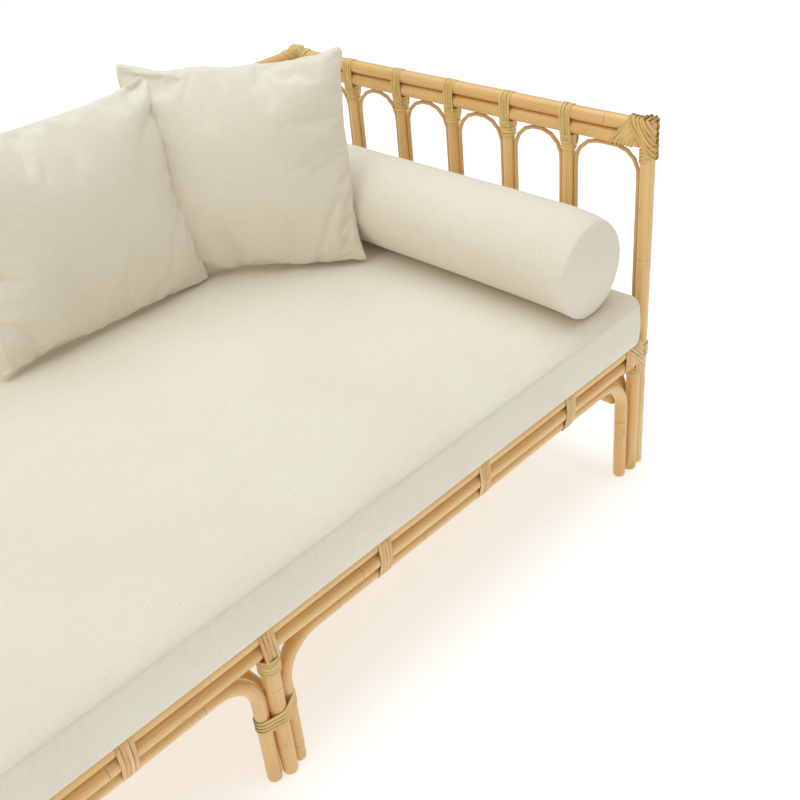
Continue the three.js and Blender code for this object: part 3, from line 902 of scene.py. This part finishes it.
PILLOWS = {
    "right_pillow": dict(w=0.449, h=0.430, thick=0.150, at=(0.6002, 0.2175), turn=-47.5, lean=8.5, roll=0.0,
                         flare=0.024, seed=5),
    "left_pillow": dict(w=0.488, h=0.424, thick=0.150, at=(0.287, 0.2749), turn=0.0, lean=12.5, roll=1.2,
                        flare=0.0, seed=8),
}
PILLOW_Z = 0.404
PILLOW_REST_Z = 0.4095
PILLOW_CELLS = 60
# (depth, sharpness) of the sag of a side between its corners; a pillow sits flatter on its foot
SIDE_SAG_HIGH, SIDE_SAG_LOW, TOP_SAG, FOOT_SAG = (0.10, 3.0), (0.10, 7.0), (0.14, 4.0), (0.055, 8.0)
PRESSURE, CLOTH_FRAMES = 7.0, 26
FULLNESS = 0.82
PUCKER_DEPTH = 0.0060


def sag(along, deep, sharp):
    """How far a side draws in between the corners, as a share of the half size."""
    return deep * (1 - abs(along) ** sharp)


def pillow_shell(w, h, thick, n, ears, flare, seed, rough):
    """Two panels joined at a knife edge, in local x (width) and z (height), with y across the thickness.

    ears scales how far the sides draw in between the corners; flare widens the foot and narrows the head.
    """
    verts, lookup, faces, flat, rim = [], {}, [], [], []
    for side in (-1, 1):
        for i in range(n + 1):
            for j in range(n + 1):
                on_rim = i in (0, n) or j in (0, n)
                if on_rim and side == 1:
                    lookup[(i, j, 1)] = lookup[(i, j, -1)]
                    continue
                u, v = 2 * i / n - 1, 2 * j / n - 1
                fill = ((1 - u * u) * (1 - v * v)) ** 0.6
                blunt = 1 - 0.05 * abs(u * v) ** 18
                side_in = ears * sag(v, *(SIDE_SAG_HIGH if v > 0 else SIDE_SAG_LOW)) * abs(u)
                end_in = ears * sag(u, *(TOP_SAG if v > 0 else FOOT_SAG)) * abs(v)
                x = w / 2 * u * (1 - flare * v) * (1 - side_in) * blunt
                z = h / 2 * v * (1 - end_in) * blunt
                y = side * thick / 2 * fill
                q = Vector((x * 24 + seed, z * 24, side if not on_rim else 5))
                y += rough * noise.noise(q)
                if on_rim:
                    rim.append(len(verts))
                    x += rough * 0.9 * noise.noise(q * 2.1)
                    z += rough * 0.9 * noise.noise(q * 2.1 + Vector((9, 0, 0)))
                lookup[(i, j, side)] = len(verts)
                verts.append((x, y, z))
                flat.append((w / 2 * u, h / 2 * v, 0.0))
    for side in (-1, 1):
        for i in range(n):
            for j in range(n):
                quad = [lookup[(a, b, side)] for a, b in ((i, j), (i + 1, j), (i + 1, j + 1), (i, j + 1))]
                faces.append(quad if side < 0 else quad[::-1])
    return verts, faces, flat, rim


def inflate(obj, target, pinned):
    """Cloth simulation: the seam is drawn from the flat cut to its place while pressure fills the cover."""
    frames = CLOTH_FRAMES
    obj.shape_key_add(name="cut")
    sewn = obj.shape_key_add(name="sewn")
    for point, place in zip(sewn.data, target):
        point.co = place
    sewn.value = 0.0
    sewn.keyframe_insert("value", frame=1)
    sewn.value = 1.0
    sewn.keyframe_insert("value", frame=int(frames * 0.6))
    group = obj.vertex_groups.new(name="seam")
    group.add(pinned, 1.0, "REPLACE")
    cloth = obj.modifiers.new("cloth", "CLOTH")
    settings = cloth.settings
    settings.quality = 5
    settings.mass = 0.25
    settings.air_damping = 2.0
    settings.tension_stiffness = settings.compression_stiffness = 25
    settings.shear_stiffness = 8
    settings.bending_stiffness = 0.08
    settings.tension_damping = settings.compression_damping = 10
    settings.vertex_group_mass = "seam"
    settings.use_pressure = True
    settings.uniform_pressure_force = PRESSURE
    settings.effector_weights.gravity = 0
    cloth.collision_settings.use_collision = False
    cloth.collision_settings.use_self_collision = False
    cloth.point_cache.frame_start, cloth.point_cache.frame_end = 1, frames
    scene = bpy.context.scene
    for step in range(1, frames + 1):
        scene.frame_set(step)
    shape = np.empty(len(target) * 3, dtype=np.float32)
    obj.evaluated_get(bpy.context.evaluated_depsgraph_get()).to_mesh().vertices.foreach_get("co", shape)
    obj.modifiers.remove(cloth)
    obj.shape_key_clear()
    if obj.data.shape_keys is None and obj.animation_data:
        obj.animation_data_clear()
    obj.vertex_groups.clear()
    scene.frame_set(1)
    return shape.reshape(-1, 3).astype(float)


def make_pillow(name, w, h, thick, at, turn, lean, roll, flare, seed):
    plump, faces, flat, rim = pillow_shell(w, h, thick, PILLOW_CELLS, 1.0, flare, seed, 0.005)
    cut = pillow_shell(w * 1.04, h * 1.04, 0.02, PILLOW_CELLS, 0.5, flare, seed, 0.0008)[0]
    obj = new_object(name + "_cover", cut, faces, CANVAS, [("cloth", "FLOAT_VECTOR", flat)])
    co = inflate(obj, plump, rim)
    half = np.abs(co[:, 1]).max()
    co[:, 1] = np.sign(co[:, 1]) * (np.abs(co[:, 1]) / half) ** FULLNESS * thick / 2
    # puckers where the two panels are sewn together
    for point, (fx, fz, _) in zip(co, flat):
        u, v = 2 * fx / w, 2 * fz / h
        edge = (1 - max(abs(u), abs(v))) * h / 2
        run = fz if abs(u) > abs(v) else fx
        pucker = noise.noise(Vector((run * 46 + seed, 3.0 * round(u) + 7 * round(v), 0.5 if point[1] < 0 else 4.5)))
        point[1] += PUCKER_DEPTH * pucker * math.exp(-edge / 0.028) * min(1.0, edge / 0.006) * np.sign(point[1])
    co[:, 2] += h / 2
    obj.data.vertices.foreach_set("co", co.astype(np.float32).ravel())
    obj.data.update()
    smooth = obj.modifiers.new("smooth", "SUBSURF")
    smooth.levels = smooth.render_levels = 1
    mesh = bpy.data.meshes.new_from_object(obj.evaluated_get(bpy.context.evaluated_depsgraph_get()))
    obj.modifiers.remove(smooth)
    obj.data = mesh
    mesh.polygons.foreach_set("use_smooth", [True] * len(mesh.polygons))
    place = (Matrix.Translation((at[0], at[1], PILLOW_Z)) @ Matrix.Rotation(math.radians(turn), 4, "Z")
             @ Matrix.Rotation(-math.radians(lean), 4, "X") @ Matrix.Rotation(math.radians(roll), 4, "Y"))
    # it stands on the mattress: nothing sinks below its crown
    back = place.inverted()
    for v in mesh.vertices:
        spot = place @ v.co
        if spot.z < PILLOW_REST_Z:
            spot.z = PILLOW_REST_Z + (spot.z - PILLOW_REST_Z) * 0.08
            v.co = back @ spot
    obj.matrix_world = place
    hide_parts(name)
    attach(obj, name)


for pillow, facts in PILLOWS.items():
    make_pillow(pillow, **facts)

# ---------------- stage

F_PIXELS, IMAGE = 1108.37, 800.0
CAMERA_AT = Vector((-0.6174, -1.4006, 1.3986))
AZ, EL, ROLL = (math.radians(v) for v in (-44.235, 33.643, -5.667))
FLOOR_HALF = 30.0
SKY, SKY_STRENGTH = (1.0, 0.93, 0.81, 1), 0.51


def make_camera():
    back = Vector((math.sin(AZ) * math.cos(EL), -math.cos(AZ) * math.cos(EL), math.sin(EL)))
    right = (-back).cross(Vector((0, 0, 1))).normalized()
    up = right.cross(-back)
    x_axis = math.cos(ROLL) * right + math.sin(ROLL) * up
    y_axis = -math.sin(ROLL) * right + math.cos(ROLL) * up
    data = bpy.data.cameras.new("camera")
    data.sensor_width = 36.0
    data.lens = F_PIXELS / IMAGE * data.sensor_width
    data.clip_end = 50
    cam = bpy.data.objects.new("camera", data)
    bpy.context.collection.objects.link(cam)
    cam.matrix_world = Matrix.Translation(CAMERA_AT) @ Matrix((x_axis, y_axis, back)).transposed().to_4x4()
    bpy.context.scene.camera = cam


def area_light(name, place, target, size, power, colour):
    data = bpy.data.lights.new(name, "AREA")
    data.shape = "DISK"
    data.size = size
    data.energy = power
    data.color = colour
    light = bpy.data.objects.new(name, data)
    bpy.context.collection.objects.link(light)
    light.location = place
    light.rotation_euler = (Vector(target) - Vector(place)).to_track_quat("-Z", "Y").to_euler()


def make_stage():
    s = Shader("studio_floor")
    s.set(Base_Color=(0.82, 0.87, 0.93), Roughness=0.9, Specular_IOR_Level=0.1,
          Emission_Color=(0.97, 0.99, 1.0), Emission_Strength=0.50)
    corners = [(x * FLOOR_HALF, y * FLOOR_HALF, 0) for x, y in ((-1, -1), (1, -1), (1, 1), (-1, 1))]
    floor = new_object("studio_floor", corners, [(0, 1, 2, 3)], s.material, smooth=False)
    world = bpy.data.worlds.new("studio")
    bpy.context.scene.world = world
    world.use_nodes = True
    sky = world.node_tree.nodes["Background"]
    sky.inputs[0].default_value = SKY
    sky.inputs[1].default_value = SKY_STRENGTH
    area_light("key", (0.6, 0.7, 4.2), (0.2, 0, 0.3), 5.0, 108, (0.82, 0.92, 1.0))
    area_light("side", (-3.2, 0.1, 2.7), (0.3, 0, 0.4), 3.0, 25, (1.0, 0.94, 0.82))
    view = bpy.context.scene.view_settings
    view.view_transform = "Standard"
    view.look = "None"


make_camera()
make_stage()
